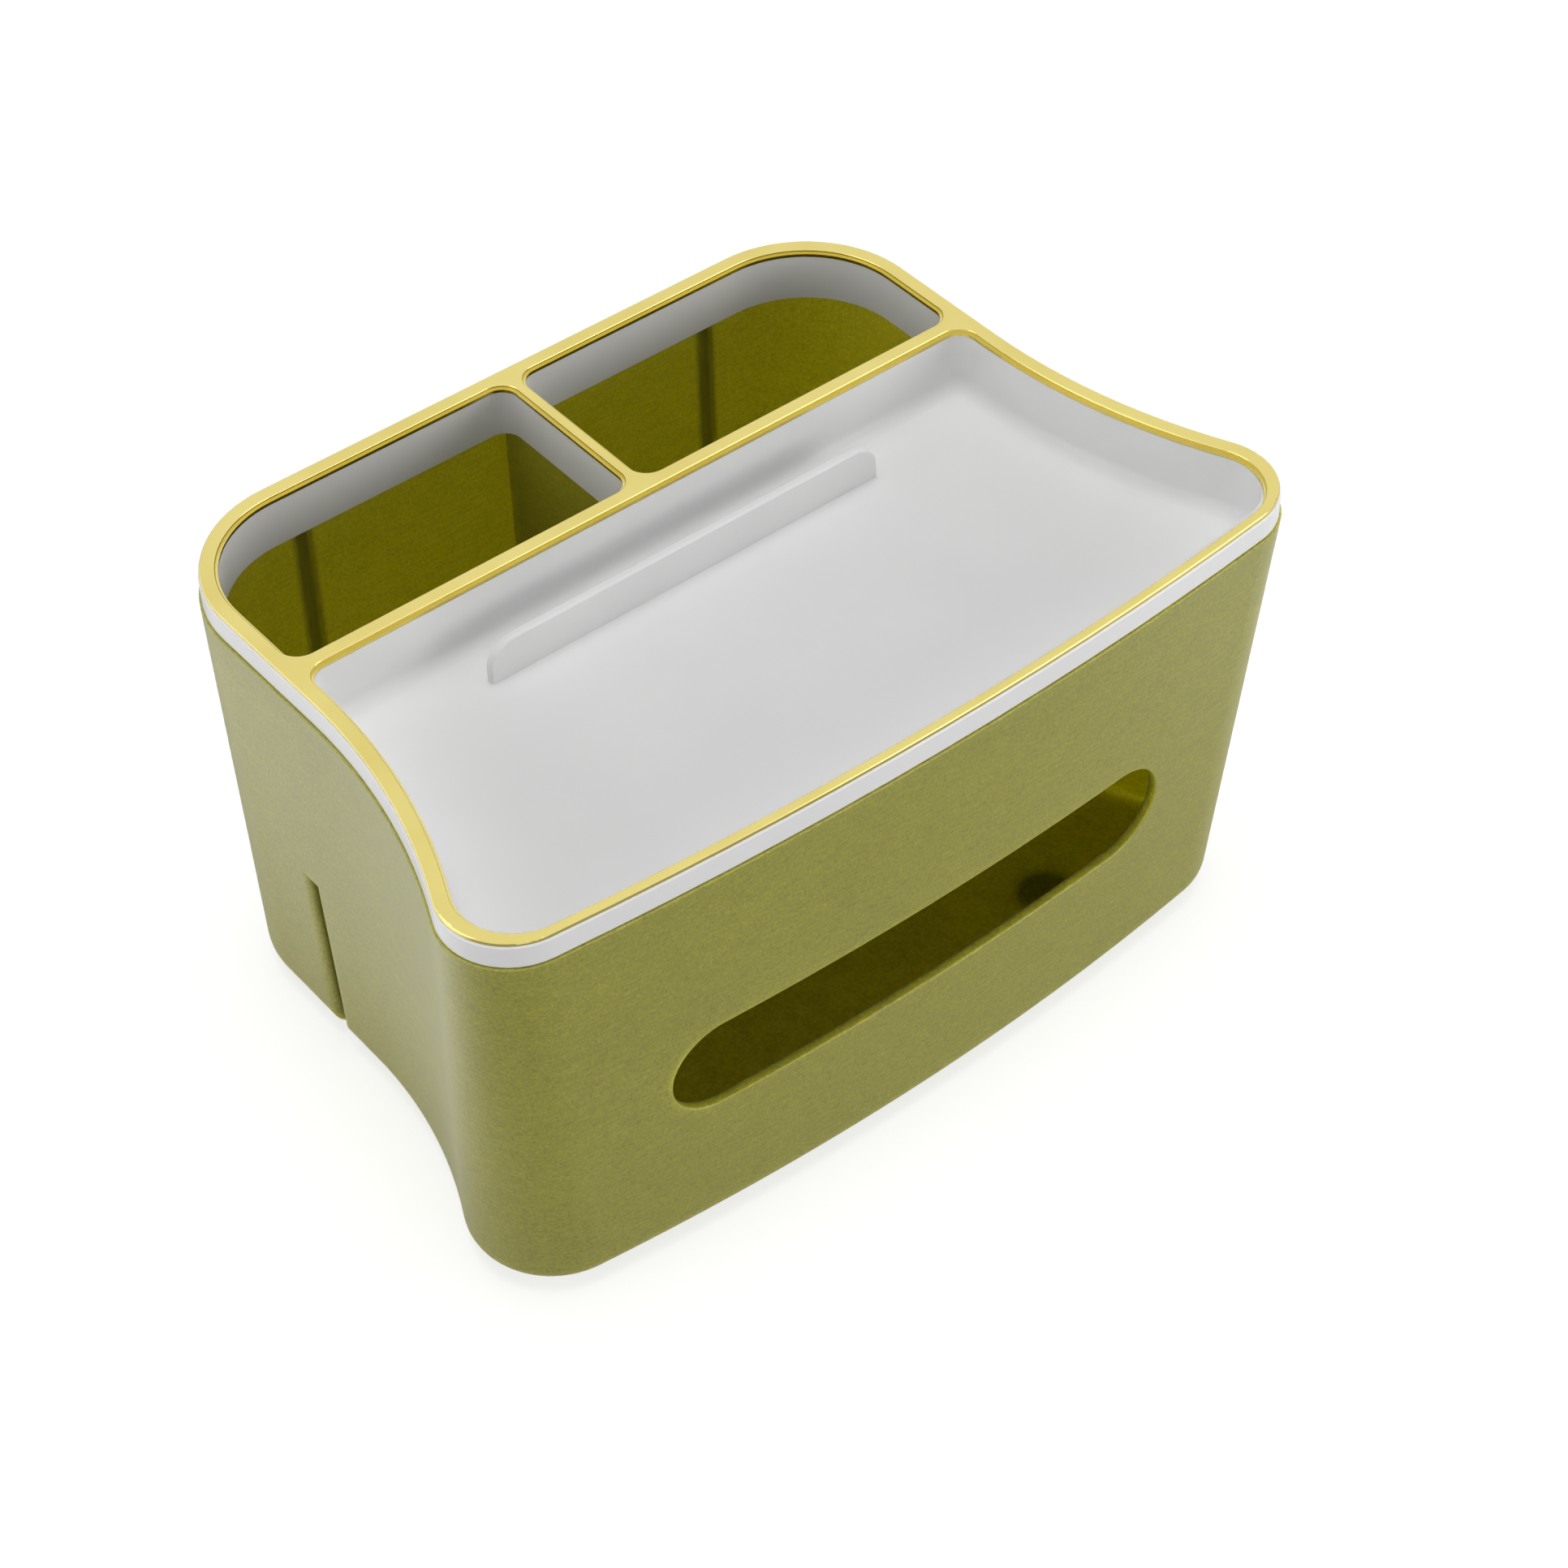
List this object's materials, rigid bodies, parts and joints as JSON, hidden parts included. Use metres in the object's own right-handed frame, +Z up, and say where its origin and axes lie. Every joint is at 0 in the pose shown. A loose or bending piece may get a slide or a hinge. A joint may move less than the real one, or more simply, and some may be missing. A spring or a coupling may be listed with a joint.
{
  "type": "tissue box with organiser lid",
  "caption": "Flared desktop tissue box with a front pull slot, rear compartments and a lift-off lid with a sunk tray and phone ridge.",
  "frame": {"origin": "centre of the footprint, on the table under the feet", "axes": "+X to the right along the width, -Y to the front with the slot, +Z up"},
  "size_m": [0.2, 0.1399, 0.11],
  "materials": {
    "olive_plastic": "satin moulded plastic with a fine grain",
    "white_plastic": "gloss moulded plastic",
    "gold_trim": "satin gold plated plastic",
    "foot_rubber": "matt rubber"
  },
  "bodies": {
    "box": {"shell": "olive_plastic", "feet": "foot_rubber"},
    "lid": {"lid_tray": "white_plastic", "trim_frame": "gold_trim"}
  },
  "joints": [
    {"name": "lid_lift", "type": "slide", "parent": "box", "child": "lid", "axis": [0, 0, 1], "range_m": [0, 0.06]}
  ]
}
